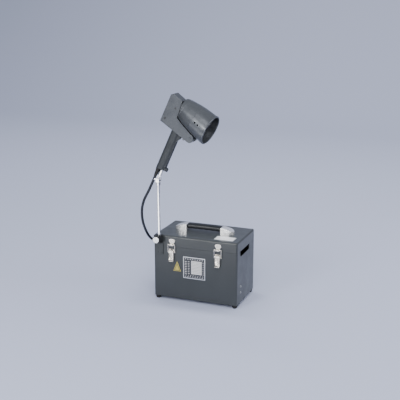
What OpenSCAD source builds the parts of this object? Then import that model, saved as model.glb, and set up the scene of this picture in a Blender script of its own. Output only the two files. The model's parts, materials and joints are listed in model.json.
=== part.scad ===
// Portable inspection lamp: a sheet-steel power case with a pistol-grip
// lamp carried on a short mast at the front left corner.
// X runs right, Y runs back, Z runs up, all sizes in millimetres.
// The origin is on the floor, under the middle of the whole lamp's outline.

/* [Case] */
// outside width of the case
case_w = 300; // [280:1:320]
// outside depth of the case
case_d = 186; // [170:1:200]
// height of the parting line between the body and the lid
part_z = 194; // [180:1:210]
// height of the top of the lid
case_top = 231; // [220:1:250]
// height of the rubber feet
foot_h = 12; // [8:1:16]
// radius of the corners
corner_r = 6; // [5:1:12]
// thickness of the folded sheet
sheet = 1.5; // [1:0.1:2]

/* [Latches] */
// distance of each latch from the middle
latch_x = 83; // [70:1:95]

/* [Mast] */
// mast position across the case
mast_x = -125; // [-130:1:-115]
// mast position in front of the case
mast_y = -104; // [-110:1:-100]
// radius of the mast rod
mast_r = 4.75; // [4:0.25:6]
// height of the knuckle pivot
knuckle_z = 430; // [420:1:440]

/* [Lamp] */
// how far the lamp is turned from straight sideways, degrees
lamp_yaw = 5; // [0:0.1:30]
// how far the lamp nods down, degrees
lamp_nod = 25; // [0:0.1:40]
// extra nod of the round head, degrees
head_nod = 10.5; // [0:0.1:12]
// radius of the mouth of the head
mouth_r = 49.8; // [48:0.1:52]
// radius of the rear ring of the head
rear_r = 35.2; // [33:0.1:38]
// how far the mouth stands in front of the grip's axis
mouth_f = 99.5; // [96:0.5:104]

// how far the case stands behind the origin, so that the whole outline is centred
set_back = 34; // [32:1:37]

/* [Hidden] */
$fn = 64;

hx = case_w / 2;
hy = case_d / 2;
front = -hy;
pivot_y = front - 5;
pivot_z = 180;
bail_l = 27.3;

// plan of the case, drawn in by some amount
module plan(in) {
  r = corner_r - in;
  square([case_w - 2 * corner_r, case_d - 2 * in], center = true);
  square([case_w - 2 * in, case_d - 2 * corner_r], center = true);
  for (x = [-1, 1], y = [-1, 1])
    translate([x * (hx - corner_r), y * (hy - corner_r)]) circle(r = r);
}
// prism of that plan between two heights
module block(in, z0, z1) {
  translate([0, 0, z0]) linear_extrude(height = z1 - z0) plan(in);
}
// lid form with every upper edge rounded
module crown(in, z0, z1) {
  r = corner_r - in;
  block(in, z0, z1 - corner_r);
  translate([0, 0, z1 - corner_r]) {
    for (x = [-1, 1], y = [-1, 1])
      translate([x * (hx - corner_r), y * (hy - corner_r), 0]) sphere(r = r);
    for (y = [-1, 1]) translate([0, y * (hy - corner_r), 0]) rotate([0, 90, 0])
      cylinder(r = r, h = case_w - 2 * corner_r, center = true);
    for (x = [-1, 1]) translate([x * (hx - corner_r), 0, 0]) rotate([90, 0, 0])
      cylinder(r = r, h = case_d - 2 * corner_r, center = true);
    translate([-hx + corner_r, -hy + corner_r, -r]) cube([case_w - 2 * corner_r, case_d - 2 * corner_r, 2 * r]);
  }
}
// cylinder along Y from y0 to y1
module bar_y(x, z, r, y0, y1) {
  translate([x, y1, z]) rotate([90, 0, 0]) cylinder(r = r, h = y1 - y0);
}
// cylinder along X from x0 to x1
module bar_x(y, z, r, x0, x1) {
  translate([x0, y, z]) rotate([0, 90, 0]) cylinder(r = r, h = x1 - x0);
}
// round side slot that the lead leaves through
module slot_cut(s) {
  translate([s * hx - 6, -60, part_z - 12]) cube([12, 96, 20]);
  translate([s * hx - 6, -52, part_z - 19]) cube([12, 80, 20]);
  for (y = [-52, 28]) translate([s * hx - 6, y, part_z - 11]) rotate([0, 90, 0]) cylinder(r = 8, h = 12);
}

module case_body() color([0.30, 0.33, 0.34]) difference() {
  block(0, foot_h, part_z - 0.5);
  block(sheet, foot_h + sheet, part_z + 5);
  for (s = [-1, 1]) slot_cut(s);
  for (x = [-139.5, 139.5], y = [-82, 82]) translate([x, y, 0]) cylinder(r = 2.6, h = 40);
  for (z = [48, 69], s = [-1, 1]) translate([s * hx - 5, -55, z]) rotate([0, 90, 0]) cylinder(r = 2.2, h = 10);
}
module body_rim() color([0.28, 0.31, 0.32]) difference() {
  union() {
    block(sheet, part_z - 14, part_z - 1);
    block(2.2, part_z - 1.5, part_z + 5);
  }
  block(3.6, part_z - 15, part_z + 6);
  for (s = [-1, 1]) slot_cut(s);
}
module case_lid() color([0.30, 0.33, 0.34]) difference() {
  crown(0, part_z, case_top);
  crown(sheet, part_z - 1, case_top);
  for (x = [-85, 85]) translate([x, 0, case_top - 10]) cylinder(r = 2.2, h = 20);
  for (x = [-latch_x, latch_x], s = [-5, 5]) bar_y(x + s, 214.5, 1.7, front - 4, front + 4);
}
module lid_seal() color([0.08, 0.08, 0.08]) difference() {
  block(1.7, part_z + 6, part_z + 10);
  block(4.5, part_z + 5, part_z + 11);
}
module rubber_feet() color([0.07, 0.07, 0.07])
  for (x = [-139.5, 139.5], y = [-82, 82]) translate([x, y, 0]) difference() {
    union() {
      cylinder(r = 7.5, h = 2);
      translate([0, 0, 2]) cylinder(r1 = 7.5, r2 = 9, h = 4);
      translate([0, 0, 6]) cylinder(r = 9, h = foot_h - 6);
    }
    translate([0, 0, -1]) cylinder(r = 4.6, h = 5);
    cylinder(r = 2.6, h = foot_h + 2);
  }
module foot_screws() color([0.7, 0.7, 0.72])
  for (x = [-139.5, 139.5], y = [-82, 82]) translate([x, y, 0]) {
    translate([0, 0, 1.2]) cylinder(r = 4, h = 2.6);
    translate([0, 0, 3]) cylinder(r = 2.4, h = foot_h + sheet + 0.3);
    translate([0, 0, foot_h + sheet + 0.1]) cylinder(r = 4.2, h = 2.6, $fn = 6);
  }

// hinge: three body knuckles and two lid knuckles on each pin
hinge_y = hy + 4.5;
module knuckles(x, list, r) {
  for (k = list) bar_x(hinge_y, part_z, r, x - 25 + k * 10 + 0.2, x - 15 + k * 10 - 0.2);
}
module hinge_body_leaves() color([0.5, 0.5, 0.52]) for (x = [-90, 90]) difference() {
  union() {
    difference() {
      translate([x - 25, hy, part_z - 26]) cube([50, 1.5, 25.5]);
      knuckles(x, [1, 3], 4.5);
    }
    knuckles(x, [0, 2, 4], 4);
  }
  bar_x(hinge_y, part_z, 1.8, x - 30, x + 30);
}
module hinge_lid_leaves() color([0.5, 0.5, 0.52]) for (x = [-90, 90]) difference() {
  union() {
    difference() {
      translate([x - 25, hy, part_z + 0.5]) cube([50, 1.5, 22]);
      knuckles(x, [0, 2, 4], 4.5);
    }
    knuckles(x, [1, 3], 4);
  }
  bar_x(hinge_y, part_z, 1.8, x - 30, x + 30);
}
module hinge_pins() color([0.7, 0.7, 0.72]) for (x = [-90, 90]) {
  bar_x(hinge_y, part_z, 1.75, x - 26.5, x + 26.5);
  for (s = [-26.5, 25.3]) bar_x(hinge_y, part_z, 2.8, x + s, x + s + 1.2);
}

module latch_bases() color([0.72, 0.71, 0.69]) for (x = [-latch_x, latch_x]) {
  translate([x - 7, front - 1.2, 150]) cube([14, 1.2, 35]);
  translate([x - 10.2, front - 1.2, 176]) cube([20.4, 1.2, 9]);
  for (s = [-1, 1]) difference() {
    union() {
      translate([x + s * 9.5 - 0.7, pivot_y, pivot_z - 3]) cube([1.4, 4.5, 6]);
      bar_x(pivot_y, pivot_z, 3, x + s * 9.5 - 0.7, x + s * 9.5 + 0.7);
    }
    bar_x(pivot_y, pivot_z, 1.22, x - 12, x + 12);
  }
  for (z = [155, 167]) difference() {
    bar_y(x, z, 2.6, front - 2.2, front - 1);
    translate([x - 0.4, front - 3, z - 3]) cube([0.8, 1.3, 6]);
  }
}
module latch_keepers() color([0.78, 0.77, 0.75]) for (x = [-latch_x, latch_x]) difference() {
  union() {
    translate([x - 7, front - 1.5, 199]) cube([14, 1.5, 14]);
    bar_y(x - 4.5, 214.5, 6.5, front - 1.5, front);
    bar_y(x + 4.5, 214.5, 6.5, front - 1.5, front);
    translate([x - 4.5, front - 1.5, 208]) cube([9, 1.5, 13]);
    translate([x - 7, front - 9.3, 199]) cube([14, 9.3, 1.3]);
    translate([x - 7, front - 9.3, 199]) cube([14, 1.3, 4]);
  }
  for (s = [-5, 5]) bar_y(x + s, 214.5, 1.7, front - 4, front + 4);
}
module keeper_screws() color([0.8, 0.8, 0.82]) for (x = [-latch_x, latch_x], s = [-5, 5]) {
  bar_y(x + s, 214.5, 1.6, front - 2, front + 5);
  difference() {
    bar_y(x + s, 214.5, 3, front - 3, front - 1.5);
    for (a = [0, 90]) translate([x + s, front - 3.5, 214.5]) rotate([0, a, 0]) cube([4, 2, 0.7], center = true);
  }
}
module lever(x) difference() {
  union() {
    translate([x - 7.6, front - 9.2, 150]) cube([15.2, 1.2, 32.5]);
    for (s = [-1, 1]) translate([x + s * 7.3 - 0.7, front - 9, 170]) cube([1.4, 6, 12.5]);
    translate([x - 7.6, front - 9.2, 150]) rotate([-14, 0, 0]) translate([0, 0, -5.5]) cube([15.2, 1.2, 6]);
    bar_x(front - 10, 145, 1.8, x - 7.6, x + 7.6);
    bar_x(pivot_y, pivot_z, 1.15, x - 10.6, x + 10.6);
    for (s = [-1, 1]) bar_x(pivot_y, pivot_z, 2.1, x + s * 10.5 - 0.2, x + s * 10.5 + 0.2);
  }
  bar_x(pivot_y, pivot_z - 5, 1.3, x - 9, x + 9);
}
module latch_lever_left() color([0.80, 0.79, 0.77]) lever(-latch_x);
module latch_lever_right() color([0.80, 0.79, 0.77]) lever(latch_x);
module bail(x) {
  bar_x(pivot_y, pivot_z - 5, 1.2, x - 13.4, x + 13.4);
  bar_x(pivot_y, pivot_z - 5 + bail_l, 1.5, x - 13.4, x + 13.4);
  for (s = [-1, 1]) {
    translate([x + s * 12.2, pivot_y, pivot_z - 5]) cylinder(r = 1.2, h = bail_l);
  }
}
module latch_bail_left() color([0.82, 0.81, 0.79]) bail(-latch_x);
module latch_bail_right() color([0.82, 0.81, 0.79]) bail(latch_x);

// handle: two end caps and the strap between them
module cap(s) translate([0, 0, case_top]) difference() {
  intersection() {
    linear_extrude(height = 30) union() {
      translate([s > 0 ? 62 : -92, -15]) square([30, 30]);
      translate([s * 92, 0]) circle(r = 15);
    }
    rotate([90, 0, 0]) linear_extrude(height = 40, center = true)
      polygon([[s * 61, 0], [s * 61, 20.4], [s * 63, 21.6], [s * 70, 21.8], [s * 92, 16.5], [s * 101, 12.8], [s * 105, 10], [s * 107, 7], [s * 107, 0]]);
  }
  translate([s > 0 ? 61 : -77, -13.2, 6.4]) cube([16, 26.4, 12.2]);
  translate([s * 85, 0, -1]) cylinder(r = 2.2, h = 9);
}
module handle_caps() color([0.8, 0.8, 0.82]) { cap(-1); cap(1); }
module handle_strap() color([0.07, 0.07, 0.08]) translate([0, 0, case_top]) {
  for (s = [-1, 1]) translate([s > 0 ? 60 : -76.5, -12.9, 6.8]) cube([16.5, 25.8, 11.4]);
  translate([-60.8, 0, 15.5]) rotate([0, 90, 0]) linear_extrude(height = 121.6) {
    square([18.4, 9], center = true);
    for (y = [-4.8, 4.8]) translate([0, y]) circle(r = 9.2);
  }
}
module handle_screws() color([0.7, 0.7, 0.72]) for (s = [-1, 1]) translate([s * 85, 0, case_top]) {
  translate([0, 0, -6]) cylinder(r = 2, h = 13.5);
  translate([0, 0, -sheet - 3]) cylinder(r = 4.2, h = 2.9, $fn = 6);
}

module rating_plate() color([0.85, 0.85, 0.83]) difference() {
  translate([-42, front - 0.8, 88]) cube([79, 0.8, 76]);
  for (x = [-38.5, 33.5], z = [91.5, 160.5]) bar_y(x, z, 1.2, front - 1.5, front - 0.4);
}
module caution_triangle() color([0.85, 0.75, 0.15])
  translate([0, front, 0]) rotate([90, 0, 0]) linear_extrude(height = 0.6)
    polygon([[-78.5, 109], [-50.5, 109], [-51.2, 110.5], [-63.8, 142.5], [-65.2, 142.5], [-77.8, 110.5]]);
module lid_label() color([0.8, 0.82, 0.83])
  translate([61, -75, case_top]) cube([67, 39, 0.5]);
module side_screws() color([0.8, 0.8, 0.82]) for (z = [48, 69], s = [-1, 1]) {
  bar_x(-55, z, 2, s > 0 ? hx - 6 : -hx - 0.5, s > 0 ? hx + 0.5 : -hx + 6);
  difference() {
    bar_x(-55, z, 3.8, s > 0 ? hx : -hx - 1.8, s > 0 ? hx + 1.8 : -hx);
    translate([s * (hx + 2), -55, z]) cube([1.6, 0.9, 9], center = true);
  }
}

// power parts inside the case
module chassis_tray() color([0.62, 0.62, 0.60]) difference() {
  union() {
    translate([-147, -85, foot_h + sheet + 4]) cube([294, 168, 1.5]);
    for (s = [-1, 1]) translate([s > 0 ? 145.5 : -147.5, -75, foot_h + sheet + 4]) cube([2, 60, 62]);
    for (x = [-110, 110], y = [-65, 65]) translate([x, y, foot_h + sheet]) cylinder(r = 5, h = 5);
  }
  for (z = [48, 69]) bar_x(-55, z, 2.2, -149, 149);
}
tray_z = foot_h + sheet + 5.5;
module ballast_core() color([0.25, 0.25, 0.27]) difference() {
  translate([-45, -40, tray_z]) cube([100, 76, 84]);
  for (x = [-27, 21]) translate([x, -50, tray_z + 20]) cube([16, 100, 44]);
}
module ballast_coil() color([0.55, 0.33, 0.14]) difference() {
  translate([-26.5, -56, tray_z + 20.5]) cube([63, 108, 43]);
  translate([-11.3, -40.3, tray_z + 10]) cube([32.6, 76.6, 70]);
}
module ballast_straps() color([0.62, 0.62, 0.60]) for (x = [-45 - 1.5, 55]) {
  translate([x, -30, tray_z]) cube([1.5, 56, 70]);
  translate([x < 0 ? x - 12 : x, -30, tray_z]) cube([13.5, 56, 1.5]);
}
module capacitor() color([0.75, 0.75, 0.77]) translate([100, 10, tray_z + 27]) {
  rotate([90, 0, 0]) cylinder(r = 24, h = 100, center = true);
  for (x = [-8, 8]) translate([x - 2.5, -60, -3]) cube([5, 12, 6]);
}
module capacitor_clip() color([0.62, 0.62, 0.60]) translate([100, 10, tray_z + 27]) difference() {
  union() {
    rotate([90, 0, 0]) cylinder(r = 25.8, h = 18, center = true);
    translate([-30, -9, -27]) cube([60, 18, 1.5]);
    translate([-12, -9, -27]) cube([24, 18, 4]);
  }
  rotate([90, 0, 0]) cylinder(r = 24.1, h = 20, center = true);
}
module terminal_block() color([0.85, 0.85, 0.82]) translate([-125, 10, tray_z]) difference() {
  cube([22, 62, 26]);
  for (y = [10, 24, 38, 52]) {
    translate([11, y, 14]) cylinder(r = 3, h = 14);
    translate([-1, y, 8]) rotate([0, 90, 0]) cylinder(r = 2.4, h = 26);
  }
}
module fuse_holder() color([0.1, 0.1, 0.1]) {
  translate([-125, -34, tray_z]) cube([20, 34, 10]);
  translate([-115, -32, tray_z + 16]) rotate([-90, 0, 0]) cylinder(r = 5, h = 30);
  for (y = [-32, -8]) translate([-118, y, tray_z + 9]) cube([6, 6, 6]);
}
module cord_gland() color([0.1, 0.1, 0.1]) difference() {
  union() {
    translate([-145, -22, tray_z]) cube([14, 26, 152.5]);
    translate([-145, -22, tray_z + 152]) cube([14, 26, 21]);
  }
  translate([-160, -9, 183]) rotate([0, 90, 0]) cylinder(r = 5.2, h = 40);
  translate([-140, -30, tray_z + 6]) cube([20, 50, 140]);
}

// mast mounting
module mast_bracket() color([0.30, 0.33, 0.34]) difference() {
  union() {
    translate([-141, front - 3, 164]) cube([26, 3, 26]);
    translate([-141, front - 3, 188]) cube([26, 1.8, 47]);
  }
  for (x = [-135, -121], z = [170, 184]) bar_y(x, z, 2.2, front - 5, front + 5);
}
module bracket_screws() color([0.30, 0.33, 0.34]) for (x = [-135, -121], z = [170, 184]) {
  bar_y(x, z, 2, front - 4, front - 0.01);
  difference() {
    bar_y(x, z, 3.2, front - 4.4, front - 3);
    translate([x, front - 4.8, z]) cube([8, 1.6, 0.9], center = true);
  }
}
module mast_clamp() color([0.06, 0.06, 0.07]) difference() {
  translate([-140, mast_y - 11, 207]) cube([25, mast_y * -1 - 93 - 3 + 11, 28]);
  translate([mast_x, mast_y, 200]) cylinder(r = mast_r + 0.05, h = 50);
  bar_y(mast_x - 2, 222, 3.1, mast_y - 20, mast_y - 6);
}
module clamp_knob() color([0.04, 0.04, 0.05]) difference() {
  union() {
    bar_y(mast_x - 2, 222, 11.4, mast_y - 24, mast_y - 19);
    bar_y(mast_x - 2, 222, 13, mast_y - 19.5, mast_y - 13);
    bar_y(mast_x - 2, 222, 3.05, mast_y - 14, mast_y - 7);
    bar_y(mast_x - 2, 222, 7, mast_y - 13.5, mast_y - 11.4);
  }
  bar_y(mast_x - 2, 222, 10.7, mast_y - 25, mast_y - 22.8);
  for (a = [0:30:330]) translate([mast_x - 2, 0, 222]) rotate([0, a, 0]) bar_y(13.9, 0, 1.7, mast_y - 25, mast_y - 12);
}
module knob_face() color([0.85, 0.86, 0.87]) {
  bar_y(mast_x - 2, 222, 10.6, mast_y - 24.6, mast_y - 22.9);
}
module mast_rod() color([0.8, 0.8, 0.82]) {
  translate([mast_x, mast_y, 206]) cylinder(r = mast_r, h = knuckle_z - 10 - 206);
  translate([mast_x, mast_y, 205]) cylinder(r1 = mast_r - 1, r2 = mast_r, h = 1);
  translate([mast_x, mast_y, 236]) cylinder(r = mast_r + 1.6, h = 3);
}

// everything on the lamp is drawn in its own frame: X forward along the lamp,
// Y sideways away from the front of the case, Z up through the grip
module lamp() translate([mast_x, mast_y, knuckle_z]) rotate([0, 0, -lamp_yaw]) rotate([0, lamp_nod, 0]) children();
module upright() translate([mast_x, mast_y, knuckle_z]) rotate([0, 0, -lamp_yaw]) children();
// the round head's own frame: Z along its axis from the rear ring to the mouth
module head() lamp() translate([-8.3, 0, 257.8]) rotate([0, 90 + head_nod, 0]) children();

module knuckle_fork() color([0.78, 0.78, 0.80]) upright() difference() {
  union() {
    translate([0, 0, -22]) cylinder(r = 7.5, h = 12);
    translate([-6, -8, -12]) cube([12, 16, 12]);
    rotate([90, 0, 0]) cylinder(r = 6, h = 16, center = true);
  }
  translate([-10, -4.2, -8]) cube([20, 8.4, 20]);
  rotate([90, 0, 0]) cylinder(r = 2.55, h = 30, center = true);
  translate([0, 0, -23]) cylinder(r = mast_r + 0.02, h = 13);
}
module knuckle_tongue() color([0.80, 0.80, 0.82]) lamp() difference() {
  union() {
    rotate([90, 0, 0]) cylinder(r = 5.6, h = 7.8, center = true);
    translate([-5, -3.9, 0]) cube([10, 7.8, 16]);
    translate([0, 0, 14]) cylinder(r = 6.3, h = 16.5);
    translate([0, 0, 30]) cylinder(r = 5, h = 26);
  }
  rotate([90, 0, 0]) cylinder(r = 2.55, h = 30, center = true);
}
module knuckle_screw() color([0.75, 0.75, 0.77]) upright() {
  rotate([90, 0, 0]) cylinder(r = 2.5, h = 20, center = true);
  translate([0, 11, 0]) rotate([90, 0, 0]) cylinder(r = 4.5, h = 2.8, $fn = 6);
  translate([0, -8.2, 0]) rotate([90, 0, 0]) cylinder(r = 4.5, h = 3);
  translate([-6, -13.6, -1.3]) cube([12, 2.6, 2.6]);
  for (x = [-6, 6]) translate([x, -11, 0]) rotate([90, 0, 0]) cylinder(r = 2.6, h = 2.6);
}

// underside of the housing, which slopes down towards the front
function under(f) = 176.3 - 0.1468 * f;
// grip outline with the switch web, seen from the side
module grip_side(in) {
  polygon([[-22.2 + in, 47 + in], [-22.2 + in, 187 - in], [-16 + in, 187 - in], [17 - in, 187 - in],
    [17 - in, 166 - in], [14.5 - in, 157 - in], [9.2 - in, 150.5 - in], [9.2 - in, 90], [9.4 - in, 62],
    [9.6 - in, 47 + in]]);
}
// oval plan of the grip
module grip_plan(in) {
  for (x = [-9, -3.6]) translate([x, 0]) circle(r = 13 - in);
  translate([-9, -13 + in]) square([5.4, 26 - 2 * in]);
  translate([-2, -8 + in]) square([19.2 - in, 16 - 2 * in]);
}
module grip_form(in) intersection() {
  rotate([90, 0, 0]) linear_extrude(height = 60, center = true) grip_side(in);
  translate([0, 0, 30]) linear_extrude(height = 170) grip_plan(in);
}
module grip_whole() difference() {
  grip_form(0);
  grip_form(2.4);
  translate([-1, -5.4, 147.4]) cube([30, 10.8, 23.4]);
  translate([0, 0, 30]) cylinder(r = 5.05, h = 25);
  translate([-14.2, 0, 30]) cylinder(r = 5.5, h = 25);
  rotate([90, 0, 0]) linear_extrude(height = 80, center = true)
    polygon([[-60, under(-60) - 0.1], [60, under(60) - 0.1], [60, 260], [-60, 260]]);
}
module grip_left() color([0.14, 0.14, 0.15]) lamp() difference() {
  grip_whole();
  translate([-60, 0, 0]) cube([140, 60, 220]);
}
module grip_right() color([0.14, 0.14, 0.15]) lamp() difference() {
  grip_whole();
  translate([-60, -60, 0]) cube([140, 60.02, 220]);
}
module grip_heel() color([0.12, 0.12, 0.13]) lamp() difference() {
  union() {
    translate([0, 0, 36]) linear_extrude(height = 10.9) {
      for (x = [-9.2, -3.6]) translate([x, 0]) circle(r = 13);
      translate([-9, -13]) square([5.4, 26]);
    }
    translate([0, -6.6, 37]) cube([13.6, 13.2, 9.9]);
    translate([13.6, 0, 37]) cylinder(r = 6.6, h = 9.9);
  }
  translate([0, 0, 30]) cylinder(r = 5.02, h = 25);
  translate([-14.2, 0, 30]) cylinder(r = 5.3, h = 25);
}
// rubber boot that the lead goes up through into the heel
module cord_boot() color([0.05, 0.05, 0.06]) lamp() translate([-14.2, 0, 0]) difference() {
  union() {
    translate([0, 0, 4]) cylinder(r1 = 5.4, r2 = 7.4, h = 27);
    translate([0, 0, 31]) cylinder(r = 8.2, h = 4.9);
    translate([0, 0, 35]) cylinder(r = 5.2, h = 14);
  }
  translate([0, 0, 6]) cylinder(r = 3.6, h = 50);
}

// housing outline with the arm that reaches under the head
module body_side(in) {
  polygon([[-67.4 + in, 186.2 + 0.864 * in], [-66.7 + in, 281.2 - 0.442 * in], [-58.9 + 0.3 * in, 288.3 - 1.08 * in],
    [-21.6 - 0.95 * in, 280.7 - 0.82 * in], [-17.8 - 0.95 * in, 222 - 0.73 * in], [10 - 0.34 * in, 211.3 - 0.94 * in],
    [35 - 0.34 * in, 202.4 - 0.94 * in], [50, 197.2 - in], [49, 169.1 + in], [30.7, 171.8 + in]]);
  translate([49, 183.5]) circle(r = 14.5 - in);
}
module body_form(in) intersection() {
  rotate([90, 0, 0]) linear_extrude(height = 60, center = true) body_side(in);
  translate([-75, -15 + in, 160]) cube([150, 30 - 2 * in, 140]);
}
module body_whole() difference() {
  body_form(0);
  difference() {
    body_form(2.5);
    translate([33, -30, 160]) cube([60, 60, 60]);
  }
  translate([34, -7.4, 160]) cube([60, 14.8, 60]);
  translate([49, 0, 183.5]) rotate([90, 0, 0]) cylinder(r = 3.02, h = 60, center = true);
  translate([-15, -9, 165]) cube([26, 18, 20]);
  translate([27, 0, 160]) cylinder(r = 3.6, h = 20);
  for (q = [[-34.3, 248.1], [-54.7, 201.7]]) translate([q[0], 0, q[1]]) rotate([90, 0, 0]) cylinder(r = 1.9, h = 60, center = true);
  for (q = [[-34.3, 248.1], [-54.7, 201.7]]) translate([q[0], -12.6, q[1]]) rotate([90, 0, 0]) cylinder(r = 3.6, h = 8);
}
module housing_left() color([0.40, 0.44, 0.44]) lamp() difference() {
  body_whole();
  translate([-90, 0, 150]) cube([190, 60, 160]);
}
module housing_right() color([0.40, 0.44, 0.44]) lamp() difference() {
  body_whole();
  translate([-90, -60, 150]) cube([190, 60.02, 160]);
}
module housing_screws() color([0.5, 0.52, 0.52]) lamp() for (q = [[-34.3, 248.1], [-54.7, 201.7]])
  translate([q[0], 0, q[1]]) rotate([90, 0, 0]) {
    cylinder(r = 1.8, h = 25.8, center = true);
    difference() {
      translate([0, 0, 12.7]) cylinder(r = 3.4, h = 1.6);
      translate([0, 0, 14.4]) cube([8, 0.9, 1.6], center = true);
    }
  }
module trigger() color([0.62, 0.64, 0.66]) lamp() {
  translate([1.4, -5, 148]) cube([9.6, 10, 22]);
  translate([11, 5, 160]) rotate([90, 0, 0]) cylinder(r = 5.2, h = 10);
}
module lock_button() color([0.62, 0.64, 0.66]) lamp() translate([27, 0, 0]) {
  translate([0, 0, 163]) cylinder(r = 3.5, h = 13.6);
  translate([0, 0, 175.9]) cylinder(r = 4.6, h = 1.6);
}
module trigger_switch() color([0.1, 0.1, 0.1]) lamp() translate([-16, -6, 140]) cube([13, 12, 30]);

// the shroud's skin, drawn in by some amount, before its mouth is cut across the lamp
// and its rear edge is cut back below the short hood over the cap
module flare(in, z0, z1) head() rotate_extrude() polygon([[0, z0], [31 - in, z0], [31 - in, -13], [33.6 - in, -8], [rear_r - in, 0], [37.6 - in, 8], [41.4 - in, 26],
  [43.7 - in, 40], [45.4 - in, 52], [47.3 - in, 75], [48.5 - in, 98], [49 - in, z1], [0, z1]]);
module head_shroud() color([0.40, 0.44, 0.44]) difference() {
  union() {
    flare(0, -20, 125);
    lamp() {
      translate([49, 0, 183.5]) rotate([90, 0, 0]) cylinder(r = 10, h = 14, center = true);
      rotate([90, 0, 0]) linear_extrude(height = 14, center = true) polygon([[43, 183.5], [43, 202.6], [57, 198.4], [57, 183.5]]);
    }
  }
  flare(1.8, -24, 130);
  lamp() translate([-95.2, -80, 120]) cube([80, 160, 220]);
  head() rotate([90, 0, 0]) linear_extrude(height = 120, center = true) polygon([[5, 0], [-33, -13], [-40, -16], [-40, -30], [60, -30], [60, 0]]);
  lamp() translate([mouth_f - 5.5, -80, 120]) cube([80, 160, 220]);
  lamp() translate([49, 0, 183.5]) rotate([90, 0, 0]) cylinder(r = 3.05, h = 60, center = true);
  head() for (z = [65.5, 77.5]) rotate([0, 0, 83]) translate([0, 0, z]) rotate([0, 90, 0]) cylinder(r = 2.6, h = 200, center = true);
}
module head_cap() color([0.36, 0.40, 0.40]) head() difference() {
  rotate_extrude() polygon([[0, -1.6], [29, -1.6], [32.6, -0.6], [33.1, 0.6], [33.1, 6], [31.4, 6], [31.3, 1], [28, 0.2], [0, 0.2]]);
  translate([0, 0, -4]) cylinder(r = 6, h = 8);
}
// bezel ring across the lamp, a little proud of the shroud
module head_bezel() color([0.36, 0.40, 0.40]) lamp() translate([mouth_f, 0, 238.8]) rotate([0, 90, 0]) rotate_extrude()
  polygon([[45.6, -8.5], [46.7, -8.5], [46.7, -5.4], [mouth_r - 0.4, -5.4], [mouth_r, -4.6], [mouth_r, -1],
    [mouth_r - 1.2, 0], [45.8, 0], [45.4, -1]]);
module filter_glass() color([0.10, 0.08, 0.22]) head() translate([0, 0, 83]) cylinder(r = 45.9, h = 4);
module reflector() color([0.85, 0.85, 0.87]) head() rotate_extrude()
  polygon([[14, 28], [24, 36], [34, 51], [40.5, 67], [44.4, 81], [45.6, 81], [45.6, 82.8], [43.4, 82.8], [39.3, 67.4], [33, 51.6], [23.2, 36.8], [14, 29.2]]);
module lamp_bulb() color([0.9, 0.9, 0.88]) head() {
  translate([0, 0, 26]) cylinder(r = 8, h = 12);
  translate([0, 0, 37]) cylinder(r = 9, h = 24);
  translate([0, 0, 61]) sphere(r = 9);
}
module lamp_socket() color([0.85, 0.84, 0.80]) head() {
  translate([0, 0, -1.5]) cylinder(r = 5.8, h = 8);
  translate([0, 0, 6]) cylinder(r = 13, h = 20);
}
module head_pin() color([0.5, 0.52, 0.52]) lamp() translate([49, 0, 183.5]) rotate([90, 0, 0]) {
  cylinder(r = 3, h = 31, center = true);
  for (s = [-1, 1]) translate([0, 0, s * 15.9]) cylinder(r = 4.6, h = 1.8, center = true);
}

// round lead swept along a smooth curve through hand-set points
route = [[-133, -9, 183], [-146, -9, 183], [-158, -13, 184], [-169, -30, 188], [-176, -56, 202], [-182, -78, 228],
  [-189, -94, 270], [-189, -101, 312], [-179, -105, 349], [-160.5, -102, 387], [-146.6, -101.8, 417], [-136.2, -103, 439.3]];
function cat(p, i) = p[max(0, min(len(p) - 1, i))];
function spline(a, b, c, d, t) = 0.5 * ((2 * b) + (c - a) * t + (2 * a - 5 * b + 4 * c - d) * t * t + (3 * b - a - 3 * c + d) * t * t * t);
per = 5;
line = [for (i = [0:len(route) - 2]) for (k = [0:per - 1]) spline(cat(route, i - 1), route[i], route[i + 1], cat(route, i + 2), k / per), route[len(route) - 1]];
function unit(v) = v / norm(v);
function tangent(i) = unit(cat(line, i + 1) - cat(line, i - 1));
sides = 10;
function ring(i, r) = let (t = tangent(i), u = unit(cross(t, [0.35, -0.9, 0.25])), v = cross(t, u))
  [for (k = [0:sides - 1]) line[i] + r * (cos(360 * k / sides) * u + sin(360 * k / sides) * v)];
module lamp_cord() color([0.05, 0.06, 0.09]) {
  n = len(line);
  polyhedron(points = [for (i = [0:n - 1]) each ring(i, 4.5)],
    faces = concat([[for (k = [0:sides - 1]) k]], [[for (k = [0:sides - 1]) (n - 1) * sides + sides - 1 - k]],
      [for (i = [0:n - 2]) for (k = [0:sides - 1]) [i * sides + k, (i + 1) * sides + k, (i + 1) * sides + (k + 1) % sides, i * sides + (k + 1) % sides]]));
}

module placed() translate([0, set_back, 0]) children();

placed() case_body();
placed() body_rim();
placed() case_lid();
placed() lid_seal();
placed() rubber_feet();
placed() foot_screws();
placed() hinge_body_leaves();
placed() hinge_lid_leaves();
placed() hinge_pins();
placed() latch_bases();
placed() latch_keepers();
placed() keeper_screws();
placed() latch_lever_left();
placed() latch_lever_right();
placed() latch_bail_left();
placed() latch_bail_right();
placed() handle_caps();
placed() handle_strap();
placed() handle_screws();
placed() rating_plate();
placed() caution_triangle();
placed() lid_label();
placed() side_screws();
placed() chassis_tray();
placed() ballast_core();
placed() ballast_coil();
placed() ballast_straps();
placed() capacitor();
placed() capacitor_clip();
placed() terminal_block();
placed() fuse_holder();
placed() cord_gland();
placed() mast_bracket();
placed() bracket_screws();
placed() mast_clamp();
placed() clamp_knob();
placed() knob_face();
placed() mast_rod();
placed() knuckle_fork();
placed() knuckle_tongue();
placed() knuckle_screw();
placed() housing_left();
placed() housing_right();
placed() housing_screws();
placed() grip_left();
placed() grip_right();
placed() grip_heel();
placed() cord_boot();
placed() trigger();
placed() lock_button();
placed() trigger_switch();
placed() head_shroud();
placed() head_cap();
placed() head_bezel();
placed() filter_glass();
placed() reflector();
placed() lamp_bulb();
placed() lamp_socket();
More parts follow.
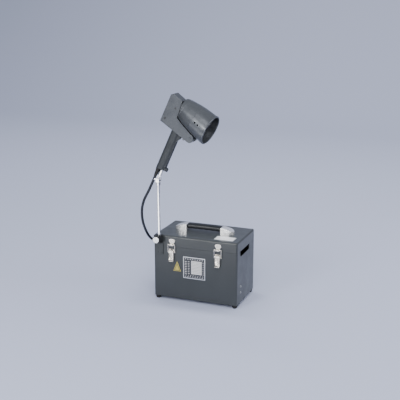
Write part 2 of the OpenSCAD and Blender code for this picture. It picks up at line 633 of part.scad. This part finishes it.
placed() head_pin();
placed() lamp_cord();
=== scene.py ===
"""Looks of the portable inspection lamp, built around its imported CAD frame."""
import json
import math

import bmesh
import bpy
from mathutils import Matrix, Vector
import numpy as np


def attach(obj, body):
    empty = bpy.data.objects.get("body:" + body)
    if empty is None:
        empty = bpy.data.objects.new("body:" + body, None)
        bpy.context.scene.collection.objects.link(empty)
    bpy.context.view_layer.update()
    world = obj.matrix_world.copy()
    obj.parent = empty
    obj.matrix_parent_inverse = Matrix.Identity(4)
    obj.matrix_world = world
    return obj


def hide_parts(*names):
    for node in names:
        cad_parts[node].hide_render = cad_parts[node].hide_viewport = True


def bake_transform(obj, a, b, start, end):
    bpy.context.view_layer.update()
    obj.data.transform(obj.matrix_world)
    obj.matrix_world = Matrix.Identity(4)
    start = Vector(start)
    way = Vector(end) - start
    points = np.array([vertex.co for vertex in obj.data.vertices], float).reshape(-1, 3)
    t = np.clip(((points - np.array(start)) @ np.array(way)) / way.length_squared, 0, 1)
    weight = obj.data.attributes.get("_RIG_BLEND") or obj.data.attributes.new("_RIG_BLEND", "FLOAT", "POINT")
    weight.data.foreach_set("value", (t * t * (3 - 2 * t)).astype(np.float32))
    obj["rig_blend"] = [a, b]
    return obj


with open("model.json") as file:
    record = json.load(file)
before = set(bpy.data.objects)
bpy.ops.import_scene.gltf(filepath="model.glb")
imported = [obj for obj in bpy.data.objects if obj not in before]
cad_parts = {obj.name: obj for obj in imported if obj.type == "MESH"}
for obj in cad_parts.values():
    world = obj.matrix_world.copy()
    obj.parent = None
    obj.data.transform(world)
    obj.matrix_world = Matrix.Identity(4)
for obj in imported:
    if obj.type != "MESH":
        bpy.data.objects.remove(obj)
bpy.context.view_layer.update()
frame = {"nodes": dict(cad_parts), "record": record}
NODES = frame["nodes"]

# The same numbers as the CAD, in metres: how far the case stands behind the origin, its
# front, the lid's top and the mast's top. The lamp is turned and nodded on the mast, and
# the head nods a little more.
SET_BACK = 0.034
FRONT = -0.093 + SET_BACK
LID_TOP = 0.231
MAST = Vector((-0.125, -0.104 + SET_BACK, 0.430))
YAW = math.radians(5)
NOD = math.radians(25)
HEAD_NOD = math.radians(10.5)
HEAD_AT = (-0.0083, 0, 0.2578)
LAMP = Matrix.Translation(MAST) @ Matrix.Rotation(-YAW, 4, "Z") @ Matrix.Rotation(NOD, 4, "Y")
HEAD = LAMP @ Matrix.Translation(HEAD_AT) @ Matrix.Rotation(math.pi / 2 + HEAD_NOD, 4, "Y")


# ---------------------------------------------------------------- camera
def add_camera():
    """Camera in front, to the right and a little above."""
    az, el = math.radians(21.16), math.radians(14.69)
    back = Vector((math.sin(az) * math.cos(el), -math.cos(az) * math.cos(el), math.sin(el)))
    right = Vector((math.cos(az), math.sin(az), 0))
    cam = bpy.data.cameras.new("camera")
    cam.sensor_width = 36
    cam.lens = 72
    cam.clip_end = 60
    obj = bpy.data.objects.new("camera", cam)
    place = Matrix((right, back.cross(right), back)).transposed().to_4x4()
    place.translation = Vector((0.9367, SET_BACK - 2.4647, 1.0333))
    obj.matrix_world = place
    bpy.context.scene.collection.objects.link(obj)
    bpy.context.scene.camera = obj


add_camera()


# ---------------------------------------------------------------- materials
def nodes_of(name):
    m = bpy.data.materials.new(name)
    m.use_nodes = True
    tree = m.node_tree
    return m, tree, tree.nodes["Principled BSDF"]


def noise(tree, scale, detail, stretch=None, rough=0.5):
    """Noise in the object's own space; stretch draws it out along an axis."""
    tc = tree.nodes.new("ShaderNodeTexCoord")
    out = tc.outputs["Object"]
    if stretch:
        mp = tree.nodes.new("ShaderNodeMapping")
        mp.inputs["Scale"].default_value = stretch
        tree.links.new(out, mp.inputs["Vector"])
        out = mp.outputs["Vector"]
    n = tree.nodes.new("ShaderNodeTexNoise")
    n.inputs["Scale"].default_value = scale
    n.inputs["Detail"].default_value = detail
    n.inputs["Roughness"].default_value = rough
    tree.links.new(out, n.inputs["Vector"])
    return n.outputs["Fac"]


def cells(tree, scale):
    """Rounded cells, for hammered paint."""
    tc = tree.nodes.new("ShaderNodeTexCoord")
    v = tree.nodes.new("ShaderNodeTexVoronoi")
    v.feature = "SMOOTH_F1"
    v.inputs["Scale"].default_value = scale
    tree.links.new(tc.outputs["Object"], v.inputs["Vector"])
    return v.outputs["Distance"]


def ramp(tree, fac, stops):
    r = tree.nodes.new("ShaderNodeValToRGB")
    ends = r.color_ramp.elements
    for end, (pos, col) in ((ends[0], stops[0]), (ends[1], stops[-1])):
        end.position, end.color = pos, (*col, 1)
    for pos, col in stops[1:-1]:
        r.color_ramp.elements.new(pos).color = (*col, 1)
    tree.links.new(fac, r.inputs["Fac"])
    return r.outputs["Color"]


def vary(tree, socket, fac, low, high, start=0.3, end=0.7):
    """Drive a socket from a factor, from one colour to another."""
    tree.links.new(ramp(tree, fac, [(start, low), (end, high)]), socket)


def grey(v):
    return (v, v, v)


def scaled(col, k):
    return tuple(min(1.0, c * k) for c in col)


def finish_nodes(tree, bsdf, bumps, edge):
    """Bumps, each a height, a strength and a depth, over softened edges."""
    normal = None
    if edge:
        b = tree.nodes.new("ShaderNodeBevel")
        b.samples = 4
        b.inputs["Radius"].default_value = edge
        normal = b.outputs["Normal"]
    for fac, strength, depth in bumps:
        bp = tree.nodes.new("ShaderNodeBump")
        bp.inputs["Strength"].default_value = strength
        bp.inputs["Distance"].default_value = depth
        tree.links.new(fac, bp.inputs["Height"])
        if normal is not None:
            tree.links.new(normal, bp.inputs["Normal"])
        normal = bp.outputs["Normal"]
    tree.links.new(normal, bsdf.inputs["Normal"])


def wear(tree, col):
    """Colour with broad clouding and a few small, paler rubbed specks."""
    cloud = ramp(tree, noise(tree, 9, 4), [(0.3, scaled(col, 0.9)), (0.7, scaled(col, 1.1))])
    speck = ramp(tree, noise(tree, 140, 6, rough=0.7), [(0.78, grey(0)), (0.82, grey(1))])
    mix = tree.nodes.new("ShaderNodeMix")
    mix.data_type = "RGBA"
    mix.inputs["B"].default_value = (*scaled(col, 1.35), 1)
    tree.links.new(speck, mix.inputs["Factor"])
    tree.links.new(cloud, mix.inputs["A"])
    return mix.outputs["Result"]


def paint(name, col, rough=0.38, peel=0.10):
    """Smooth enamel with fine peel and slow waves."""
    m, t, b = nodes_of(name)
    t.links.new(wear(t, col), b.inputs["Base Color"])
    vary(t, b.inputs["Roughness"], noise(t, 30, 5), grey(rough - 0.05), grey(rough + 0.09),
         end=0.75)
    b.inputs["Coat Weight"].default_value = 0.12
    b.inputs["Coat Roughness"].default_value = 0.2
    finish_nodes(t, b, [(noise(t, 900, 2), peel, 0.0003), (noise(t, 6, 2), 0.08, 0.002)], 0.0008)
    return m


def hammer(name, col, rough=0.36):
    """Hammered metallic paint."""
    m, t, b = nodes_of(name)
    c = cells(t, 520)
    vary(t, b.inputs["Base Color"], c, scaled(col, 1.20), scaled(col, 0.80), 0.15, 0.75)
    vary(t, b.inputs["Roughness"], noise(t, 40, 4), grey(rough - 0.05), grey(rough + 0.1))
    b.inputs["Metallic"].default_value = 0.5
    finish_nodes(t, b, [(c, 0.30, 0.0004)], 0.0008)
    return m


def plastic(name, col, rough, grain, scale, edge=0.0006, coat=0.0):
    m, t, b = nodes_of(name)
    vary(t, b.inputs["Base Color"], noise(t, 25, 4), scaled(col, 0.86), scaled(col, 1.15))
    vary(t, b.inputs["Roughness"], noise(t, 90, 4), grey(rough - 0.06), grey(rough + 0.06))
    b.inputs["Coat Weight"].default_value = coat
    finish_nodes(t, b, [(noise(t, scale, 3), grain, 0.0004)], edge)
    return m


def metal(name, col, rough, stretch, brush, white=0.0):
    """Bare or plated metal; white is the share of it that scatters like white paint."""
    m, t, b = nodes_of(name)
    b.inputs["Metallic"].default_value = 1.0 - white
    vary(t, b.inputs["Base Color"], noise(t, 35, 5), scaled(col, 0.9), scaled(col, 1.04))
    vary(t, b.inputs["Roughness"], noise(t, 220, 5, stretch),
         grey(max(0.03, rough - 0.06)), grey(rough + 0.1), end=0.72)
    finish_nodes(t, b, [(noise(t, 700, 3, stretch), brush, 0.0002)], 0.0005)
    return m


def flat_print(name, col, rough=0.35):
    m, t, b = nodes_of(name)
    vary(t, b.inputs["Base Color"], noise(t, 60, 5), scaled(col, 0.92), scaled(col, 1.05))
    b.inputs["Roughness"].default_value = rough
    finish_nodes(t, b, [(noise(t, 1400, 2), 0.06, 0.0002)], 0.0)
    return m


def glassy(name, col, rough, trans, coat=0.6):
    m, t, b = nodes_of(name)
    vary(t, b.inputs["Base Color"], noise(t, 18, 3), scaled(col, 0.85), scaled(col, 1.15))
    vary(t, b.inputs["Roughness"], noise(t, 60, 4), grey(rough), grey(rough + 0.05), end=0.8)
    b.inputs["Transmission Weight"].default_value = trans
    b.inputs["Coat Weight"].default_value = coat
    b.inputs["Coat Roughness"].default_value = 0.04
    return m


CASE_COL = (0.050, 0.056, 0.060)
MAT = {
    "case_paint": paint("case_paint", CASE_COL),
    "lid_paint": paint("lid_paint", CASE_COL, rough=0.36, peel=0.05),
    "head_paint": hammer("head_paint", (0.100, 0.108, 0.120)),
    "grip_plastic": plastic("grip_plastic", (0.031, 0.036, 0.043), 0.6, 0.6, 1100),
    "black_plastic": plastic("black_plastic", (0.011, 0.012, 0.015), 0.42, 0.15, 1800, coat=0.08),
    "rubber": plastic("rubber", (0.016, 0.016, 0.017), 0.72, 0.35, 1600),
    "cord_jacket": plastic("cord_jacket", (0.008, 0.011, 0.019), 0.55, 0.18, 1600, edge=0),
    "chrome": metal("chrome", (0.93, 0.93, 0.95), 0.09, None, 0.02),
    "stainless": metal("stainless", (0.74, 0.70, 0.64), 0.26, (1, 1, 0.06), 0.14),
    "zinc": metal("zinc", (0.58, 0.58, 0.57), 0.34, None, 0.2),
    "plate_print": metal("plate_print", (0.86, 0.86, 0.84), 0.34, (0.05, 1, 1), 0.05),
    "label_yellow": flat_print("label_yellow", (0.72, 0.60, 0.14)),
    "label_pale": flat_print("label_pale", (0.60, 0.65, 0.66)),
    "cap_chrome": metal("cap_chrome", (0.97, 0.97, 0.98), 0.2, None, 0.02, white=0.25),
    "knob_disc": metal("knob_disc", (1.0, 1.0, 1.0), 0.25, None, 0.03, white=0.3),
    "core_steel": plastic("core_steel", (0.05, 0.05, 0.055), 0.5, 0.3, 900),
    "copper": metal("copper", (0.62, 0.29, 0.11), 0.35, (1, 0.05, 1), 0.5),
    "ceramic": plastic("ceramic", (0.62, 0.60, 0.54), 0.6, 0.1, 900),
    "mirror_metal": metal("mirror_metal", (0.85, 0.85, 0.87), 0.12, None, 0.02),
    "filter": glassy("filter", (0.11, 0.115, 0.13), 0.22, 0.05, 0.3),
    "bulb_glass": glassy("bulb_glass", (0.85, 0.85, 0.82), 0.08, 0.7),
    "button": plastic("button", (0.26, 0.28, 0.29), 0.45, 0.2, 1400),
    "ink_dark": flat_print("ink_dark", (0.05, 0.055, 0.065), 0.4),
    "ink_line": flat_print("ink_line", (0.25, 0.27, 0.27), 0.5),
    "ink_pale": flat_print("ink_pale", (0.95, 0.94, 1.0), 0.4),
}
SLOT = {s["node"]: s["material_slot"] for s in frame["record"]["subparts"]}
BODY = {n: b for b, group in frame["record"]["behaviour"]["bodies"].items() for n in group}
# the look of a node is its slot's, but for these two
FINISH = dict(SLOT, handle_caps="cap_chrome", housing_screws="core_steel")


def dress(obj, mat):
    obj.data.materials.clear()
    obj.data.materials.append(MAT[mat])


for node_name, node_obj in NODES.items():
    if node_obj.data.materials:
        for material_slot in node_obj.material_slots:
            material_slot.material = MAT[FINISH[node_name]]
    else:
        node_obj.data.materials.append(MAT[FINISH[node_name]])


# ---------------------------------------------------------------- building
def link(name, mesh):
    obj = bpy.data.objects.new(name, mesh)
    bpy.context.scene.collection.objects.link(obj)
    return obj


def shade_smooth(mesh, smooth=True):
    mesh.polygons.foreach_set("use_smooth", [smooth] * len(mesh.polygons))


def piece(name, verts, faces, mat, body=None, smooth=True, place=None, slot=None):
    me = bpy.data.meshes.new(name)
    me.from_pydata([tuple(v) for v in verts], [], faces)
    bm = bmesh.new()
    bm.from_mesh(me)
    bmesh.ops.remove_doubles(bm, verts=bm.verts, dist=1e-6)
    bmesh.ops.recalc_face_normals(bm, faces=bm.faces)
    bm.to_mesh(me)
    bm.free()
    if place is not None:
        me.transform(place)
    shade_smooth(me, smooth)
    obj = link(name, me)
    dress(obj, mat)
    if body:
        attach(obj, body)
    return obj


def circle(sides):
    """Angles of equal steps round a circle."""
    return [2 * math.pi * k / sides for k in range(sides)]


def skin(rings, around):
    """Vertices and faces over rings of points; around also joins the last ring to the first."""
    n = len(rings[0])
    verts = [p for r in rings for p in r]
    faces = []
    for i in range(len(rings) if around else len(rings) - 1):
        j = (i + 1) % len(rings)
        for k in range(n):
            q = (k + 1) % n
            faces.append((i * n + k, i * n + q, j * n + q, j * n + k))
    return verts, faces


def loft(rings):
    """Solid skin over rings, closed at both ends."""
    n = len(rings[0])
    verts, faces = skin(rings, False)
    faces.append(tuple(range(n))[::-1])
    faces.append(tuple((len(rings) - 1) * n + k for k in range(n)))
    return verts, faces


def lathe(profile):
    """Closed skin of (radius, height) points turned about Z."""
    return skin([[(r * math.cos(a), r * math.sin(a), z) for r, z in profile]
                 for a in circle(96)], True)


def bevelled(obj, width):
    """Round the edges of an object's mesh."""
    m = obj.modifiers.new("edge", "BEVEL")
    m.width = width
    m.segments = 2
    m.limit_method = "ANGLE"
    m.angle_limit = math.radians(35)
    w = obj.modifiers.new("normals", "WEIGHTED_NORMAL")
    w.keep_sharp = True
    deps = bpy.context.evaluated_depsgraph_get()
    me = bpy.data.meshes.new_from_object(obj.evaluated_get(deps))
    obj.modifiers.clear()
    obj.data = me


def soften(node, width):
    """A copy of a CAD node with its edges rounded, which stands for it."""
    me = NODES[node].data.copy()
    me.name = node + "_soft"
    bm = bmesh.new()
    bm.from_mesh(me)
    bmesh.ops.remove_doubles(bm, verts=bm.verts, dist=2e-6)
    bmesh.ops.dissolve_limit(bm, angle_limit=math.radians(1.0), verts=bm.verts, edges=bm.edges)
    bm.to_mesh(me)
    bm.free()
    for layer in list(me.attributes):
        if layer.name.startswith("custom_normal"):
            me.attributes.remove(layer)
    obj = link(node + "_soft", me)
    dress(obj, FINISH[node])
    shade_smooth(me)
    bevelled(obj, width)
    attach(obj, BODY[node])
    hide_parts(node)


def box_piece(name, lo, hi, mat, body, r, slot=None):
    """Box with rounded edges."""
    (x0, y0, z0), (x1, y1, z1) = lo, hi
    v = [(x, y, z) for z in (z0, z1) for x, y in ((x0, y0), (x1, y0), (x1, y1), (x0, y1))]
    f = [(0, 3, 2, 1), (4, 5, 6, 7), (0, 1, 5, 4), (1, 2, 6, 5), (2, 3, 7, 6), (3, 0, 4, 7)]
    obj = piece(name, v, f, mat, slot=slot)
    bevelled(obj, r)
    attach(obj, body)


# ---------------------------------------------------------------- lead and boot
# the CAD lead's route in millimetres from the case's side slot to the heel, on a case that
# stands at the origin, and its points per span
ROUTE_MM = [
    (-133, -9, 183), (-146, -9, 183), (-158, -13, 184), (-169, -30, 188), (-176, -56, 202),
    (-182, -78, 228), (-189, -94, 270), (-189, -101, 312), (-179, -105, 349),
    (-160.5, -102, 387), (-146.6, -101.8, 417), (-136.2, -103, 439.3),
]
SPAN_POINTS = 12
CORD_D = 0.009
# the visual lead is this much slimmer, so that its skin stays inside the CAD one
CORD_INSET = 0.00015
# the stretch of the lead that bends as the mast turns
BEND_FROM, BEND_TO = 70, -8


def smooth_line(points, per):
    """Points along the smooth curve that the CAD lead follows."""
    def at(i):
        return points[max(0, min(len(points) - 1, i))]

    out = []
    for i in range(len(points) - 1):
        a, b, c, d = at(i - 1), at(i), at(i + 1), at(i + 2)
        for k in range(per):
            t = k / per
            out.append(0.5 * (2 * b + (c - a) * t + (2 * a - 5 * b + 4 * c - d) * t * t
                              + (3 * b - a - 3 * c + d) * t ** 3))
    out.append(points[-1])
    return out


def tube(line, radius):
    """Round tube along a line of points."""
    rings = []
    ref = Vector((0.35, -0.9, 0.25))
    for i, p in enumerate(line):
        t = (line[min(i + 1, len(line) - 1)] - line[max(i - 1, 0)]).normalized()
        u = t.cross(ref).normalized()
        v = t.cross(u)
        rings.append([p + radius * (math.cos(a) * u + math.sin(a) * v) for a in circle(20)])
    return loft(rings)


cord_line = smooth_line([Vector((x, y, z)) / 1000 + Vector((0, SET_BACK, 0))
                         for x, y, z in ROUTE_MM], SPAN_POINTS)
cord = piece("lead", *tube(cord_line, CORD_D / 2 - CORD_INSET), "cord_jacket")
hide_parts("lamp_cord")
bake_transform(cord, "case", "mast", start=tuple(cord_line[BEND_FROM]), end=tuple(cord_line[BEND_TO]))

# ribbed boot where the lead goes up into the heel: radii and heights in millimetres, about
# an axis behind the lamp's own
BOOT_X = -0.0142
BOOT = [(4.9, 4), (5.5, 4.6)]
for rib in range(6):
    z, r = 6.0 + rib * 4.1, 5.6 + rib * 0.33
    BOOT += [(r, z), (r, z + 2.1), (r - 0.9, z + 2.6), (r - 0.9, z + 3.7)]
BOOT += [(7.6, 30.6), (8.2, 31.2), (8.2, 35.4), (7.8, 35.9)]
boot_rings = [[(BOOT_X + r / 1000 * math.cos(a), r / 1000 * math.sin(a), z / 1000)
               for a in circle(40)] for r, z in BOOT]
boot = piece("lead_boot", *loft(boot_rings), "rubber", place=LAMP)
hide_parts("cord_boot")
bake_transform(boot, "mast", "lamp", start=tuple(LAMP @ Vector((BOOT_X, 0, 0.005))),
         end=tuple(LAMP @ Vector((BOOT_X, 0, 0.029))))


# ---------------------------------------------------------------- softened hard parts
for node_name, width in (
    ("latch_bases", 0.0003), ("latch_keepers", 0.0004), ("latch_lever_left", 0.0004),
    ("latch_lever_right", 0.0004), ("mast_bracket", 0.0006), ("mast_clamp", 0.0015),
    ("clamp_knob", 0.0005), ("knob_face", 0.0005), ("grip_heel", 0.0012), ("trigger", 0.0008),
    ("lock_button", 0.0006), ("knuckle_fork", 0.0007), ("knuckle_tongue", 0.0007),
    ("knuckle_screw", 0.0005), ("handle_caps", 0.0016), ("hinge_body_leaves", 0.0003),
    ("hinge_lid_leaves", 0.0003), ("rubber_feet", 0.0008), ("terminal_block", 0.0008),
    ("fuse_holder", 0.0008), ("side_screws", 0.0003), ("housing_screws", 0.0003),
    ("bracket_screws", 0.0003), ("keeper_screws", 0.0003), ("rating_plate", 0.0002),
    ("head_pin", 0.0005),
):
    soften(node_name, width)


# ---------------------------------------------------------------- strap handle
STRAP_HALF = 0.0608                 # half of its length between the caps
STRAP_Y, STRAP_Z = 0.0141, 0.0091   # half of its width and of its height
STRAP_RISE = 0.0151                 # its axis above the lid, at the ends
STRAP_BOW = 0.0008                  # how much higher the axis is in the middle
STRAP_RINGS = 97
RIDGE_PITCH, RIDGE_DEPTH = 0.0205, 0.0011
CREASE_Y, CREASE_HALF, CREASE_DEPTH = 0.0088, 0.0012, 0.00035


def strap():
    """Oval section with a flatter belly, two creases on top, finger ridges below."""
    rings = []
    for i in range(STRAP_RINGS):
        s = -STRAP_HALF + 2 * STRAP_HALF * i / (STRAP_RINGS - 1)
        e = abs(s) / STRAP_HALF
        end = max(0.0, (e - 0.9) / 0.1)
        ridge = 0.5 + 0.5 * math.cos(2 * math.pi * s / RIDGE_PITCH)
        grow = 1.0 - 0.10 * end ** 2
        ring = []
        for a in circle(64):
            c, d = math.cos(a), math.sin(a)
            y = STRAP_Y * grow * math.copysign(abs(c) ** 0.62, c)
            z = STRAP_Z * grow * math.copysign(abs(d) ** 0.80, d)
            if d < 0:
                z += RIDGE_DEPTH * ridge * (-d) * (1 - end)
            crease = 0.0
            if d > 0.3:
                crease = CREASE_DEPTH * max(0.0, 1 - abs(abs(y) - CREASE_Y) / CREASE_HALF)
            ring.append((s, y, LID_TOP + STRAP_RISE + STRAP_BOW * (1 - e * e) + z - crease))
        rings.append(ring)
    return loft(rings)


handle = piece("handle_strap_moulded", *strap(), "black_plastic",
               place=Matrix.Translation((0, SET_BACK, 0)))
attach(handle, "lid")
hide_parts("handle_strap")
# the strap's ends inside the caps
for name, mid in (("strap_end_left", -0.0685), ("strap_end_right", 0.0685)):
    box_piece(name, (mid - 0.0078, SET_BACK - 0.0127, LID_TOP + 0.0070),
              (mid + 0.0078, SET_BACK + 0.0127, LID_TOP + 0.0178), "black_plastic", "lid", 0.0015)


# ---------------------------------------------------------------- printed plates
# how far each layer stands off the case's front, in millimetres
FIELD_LIFT, PRINT_LIFT, RULE_LIFT = 0.8, 0.95, 1.1


def on_front(name, x0, x1, z0, z1, lift, mat):
    """Thin printed field on the rating plate, from its edges in millimetres."""
    box_piece(name, (x0 / 1000, FRONT - lift / 1000 - 0.00012, z0 / 1000),
              (x1 / 1000, FRONT - lift / 1000 + 0.0001, z1 / 1000),
              mat, "case", 0.00004, slot="plate_print")


def bars(count, dx, dz, marks, lift=PRINT_LIFT, mat="ink_pale"):
    """Runs of plain bars at equal steps, from each run's name and its first bar's edges."""
    for k in range(count):
        for name, x0, x1, z0, z1 in marks:
            on_front("%s_%d" % (name, k), x0 + dx * k, x1 + dx * k, z0 + dz * k, z1 + dz * k,
                     lift, mat)


on_front("plate_field", -39.5, 34.5, 90.5, 161.5, FIELD_LIFT, "ink_dark")
on_front("plate_panel", -13, 25, 105, 152, PRINT_LIFT, "ink_pale")
bars(8, 0, 5.3, [("plate_rule", -11, 23, 110, 110.7)], RULE_LIFT, "ink_line")
bars(8, 0, 6.0, [("plate_left", -36, -29.5, 104.5, 106.3), ("plate_mid", -25, -19, 105.5, 106.9)])
bars(8, 8.6, 0, [("plate_top", -35, -31.5, 155.8, 158), ("plate_foot", -35, -31.5, 94, 95.8),
                 ("plate_low", -33, -30, 99, 100.5)])
bars(7, 0, 7.0, [("plate_edge", 28.8, 31.6, 106, 107.8)])


def triangle():
    """Plain dark border inside the yellow triangle."""
    out = [(-75.8, 110.6), (-53.2, 110.6), (-64.5, 137.2)]
    cx = sum(p[0] for p in out) / 3
    cz = sum(p[1] for p in out) / 3
    inn = [(cx + (x - cx) * 0.80, cz + (z - cz) * 0.80) for x, z in out]
    verts, faces = [], []
    for y in (0.0006, 0.00074):
        verts += [(x / 1000, FRONT - y, z / 1000) for x, z in out + inn]
    for k in range(3):
        j = (k + 1) % 3
        faces += [(k, j, j + 3, k + 3), (k + 6, k + 9, j + 9, j + 6), (k, k + 6, j + 6, j),
                  (k + 3, j + 3, j + 9, k + 9)]
    return verts, faces


piece("triangle_border", *triangle(), "ink_dark", "case", smooth=False, slot="label_yellow")
box_piece("lid_label_field", (0.064, -0.072 + SET_BACK, LID_TOP + 0.0004),
          (0.125, -0.039 + SET_BACK, LID_TOP + 0.00062), "ink_pale", "lid", 0.00005,
          slot="label_pale")


# ---------------------------------------------------------------- head details
def ring_piece(name, z, r, w, h):
    """Low bead round the head: height along its axis, radius, width and rise."""
    prof = [(r - 0.0004, z - w / 2), (r + h * 0.7, z - w / 2), (r + h, z - w / 4),
            (r + h, z + w / 4), (r + h * 0.7, z + w / 2), (r - 0.0004, z + w / 2)]
    piece(name, *lathe(prof), "head_paint", "head", place=HEAD)


ring_piece("head_rear_bead", 0.0045, 0.0362, 0.0044, 0.0006)
ring_piece("head_seam", 0.0520, 0.0453, 0.0020, 0.0004)


def housing_shade_pad():
    """Black pad down the housing's front edge, behind the head: painted shade, a dark sheet laid where the
    housing's front wall lies in shadow.
    """
    lo, hi = Vector((-0.0177, 0, 0.2235)), Vector((-0.0214, 0, 0.2795))
    out = Vector((0.998, 0, 0.065)) * 0.0007
    verts = []
    for p in (lo, hi):
        for n in (-0.0138, 0.0138):
            verts += [LAMP @ (p + Vector((-0.0001, n, 0))), LAMP @ (p + Vector((0, n, 0)) + out)]
    faces = [(0, 2, 6, 4), (1, 5, 7, 3), (0, 4, 5, 1), (2, 3, 7, 6), (0, 1, 3, 2), (4, 6, 7, 5)]
    return verts, faces


# painted shade: a black rubber sheet stands in for the shadow on the housing's front wall
piece("housing_shade_pad", *housing_shade_pad(), "rubber", "lamp", smooth=False)


# ---------------------------------------------------------------- studio
FLOOR_HALF = 14.0             # the floor's reach to each side and towards the camera
CURVE_Y, CURVE_R = 3.4, 2.2   # where the floor starts to rise, and its curve's radius
WALL_TOP = 6.0
CURVE_STEPS = 16


def stage_mesh():
    """Floor that curves up into a backdrop far behind."""
    prof = [(-FLOOR_HALF, 0.0)]
    for k in range(CURVE_STEPS + 1):
        a = math.pi / 2 * k / CURVE_STEPS
        prof.append((CURVE_Y + CURVE_R * math.sin(a), CURVE_R - CURVE_R * math.cos(a)))
    prof.append((CURVE_Y + CURVE_R, WALL_TOP))
    n = len(prof)
    verts = [(x, y, z) for x in (-FLOOR_HALF, FLOOR_HALF) for y, z in prof]
    return verts, [(k, k + 1, n + k + 1, n + k) for k in range(n - 1)]


def stage_piece(name, verts, faces, mat):
    me = bpy.data.meshes.new(name)
    me.from_pydata(verts, [], faces)
    me.materials.append(mat)
    return link(name, me)


floor_mat, _, floor_bsdf = nodes_of("studio_floor")
floor_bsdf.inputs["Base Color"].default_value = (0.53, 0.57, 0.74, 1)
floor_bsdf.inputs["Roughness"].default_value = 0.7
floor_bsdf.inputs["Specular IOR Level"].default_value = 0.0
floor = stage_piece("floor", *stage_mesh(), floor_mat)
shade_smooth(floor.data)
floor.visible_diffuse = False


def area(name, where, to, size, power, glossy=True):
    """Rectangular light aimed at a point; glossy says whether reflections show it."""
    light = bpy.data.lights.new(name, "AREA")
    light.shape = "RECTANGLE"
    light.size, light.size_y = size
    light.energy = power
    obj = link(name, light)
    obj.location = where
    obj.rotation_euler = (Vector(to) - Vector(where)).to_track_quat("-Z", "Y").to_euler()
    obj.visible_camera = False
    obj.visible_glossy = glossy


area("key", (1.0, -2.3, 2.5), (0, 0, 0.40), (1.8, 1.2), 62)
area("side", (2.6, 0.2, 0.9), (0, 0, 0.2), (1.4, 1.4), 26)
area("front_left", (-0.85, -2.5, 1.3), (0, 0, 0.5), (0.8, 0.8), 36)
area("backdrop_wash", (0, 1.2, 4.4), (0, 3.6, 1.2), (5.0, 1.5), 168, False)


def card(name, corners, colour, glow):
    """Reflection card beside the set: only glossy rays see it."""
    m, _, b = nodes_of(name)
    b.inputs["Base Color"].default_value = (*colour, 1)
    b.inputs["Roughness"].default_value = 0.9
    b.inputs["Emission Color"].default_value = (1, 1, 1, 1)
    b.inputs["Emission Strength"].default_value = glow
    obj = stage_piece(name, corners, [(0, 1, 2, 3)], m)
    obj.visible_camera = obj.visible_diffuse = False
    obj.visible_shadow = obj.visible_transmission = False


def standing(x0, y0, x1, y1, top):
    """Corners of an upright card from one floor point to another."""
    return [(x0, y0, 0), (x1, y1, 0), (x1, y1, top), (x0, y0, top)]


card("card_front", [(-1.5, -0.76, 0.01), (0.45, -0.76, 0.01), (0.45, -1.55, 0.01),
                    (-1.5, -1.55, 0.01)], grey(0.8), 4.0)
card("card_left", standing(-1.15, -0.75, -0.95, 1.2, 0.6), grey(0.03), 0.0)
card("card_right", standing(0.75, -0.55, 1.3, 0.95, 0.5), grey(0.03), 0.0)
card("card_back", standing(1.3, 0.95, 0.4, 1.9, 0.5), grey(0.03), 0.0)

# soft sky that brightens from the horizon up
world = bpy.data.worlds.new("studio")
bpy.context.scene.world = world
world.use_nodes = True
wt = world.node_tree
sky = wt.nodes["Background"]
tc = wt.nodes.new("ShaderNodeTexCoord")
sep = wt.nodes.new("ShaderNodeSeparateXYZ")
wt.links.new(tc.outputs["Generated"], sep.inputs["Vector"])
wt.links.new(ramp(wt, sep.outputs["Z"], [
    (0.0, (0.16, 0.17, 0.20)), (0.12, (0.55, 0.59, 0.68)), (0.4, (0.60, 0.64, 0.74)),
    (0.9, (0.56, 0.60, 0.68)),
]), sky.inputs["Color"])
sky.inputs["Strength"].default_value = 0.66
